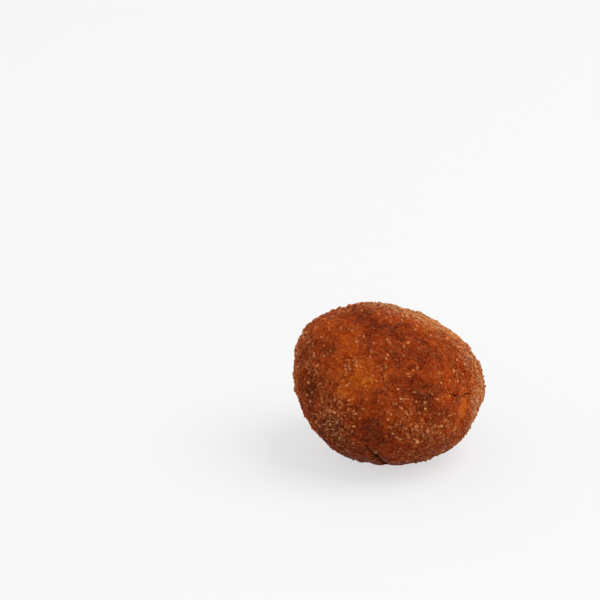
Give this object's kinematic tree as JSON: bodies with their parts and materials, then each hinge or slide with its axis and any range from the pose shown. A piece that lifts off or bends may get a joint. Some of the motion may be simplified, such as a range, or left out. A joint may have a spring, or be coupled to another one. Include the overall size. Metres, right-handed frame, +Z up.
{
  "type": "fried meatball",
  "caption": "Hand-rolled meatball in a fine crumb coat, deep fried to a deep golden brown, slightly flattened, resting on a small flat spot.",
  "frame": {"origin": "middle of the bounding box's base, on the plane of the flat resting spot", "axes": "+Z up, the shortest extent; +X to the right along the longest extent; +Y to the back"},
  "size_m": [0.0396, 0.0384, 0.0326],
  "materials": {
    "crumb_crust": "fried crumb crust, rough and mostly dull, with smooth darker spots that have a faint fatty sheen"
  },
  "bodies": {
    "root": {"meatball": "crumb_crust"}
  },
  "joints": []
}
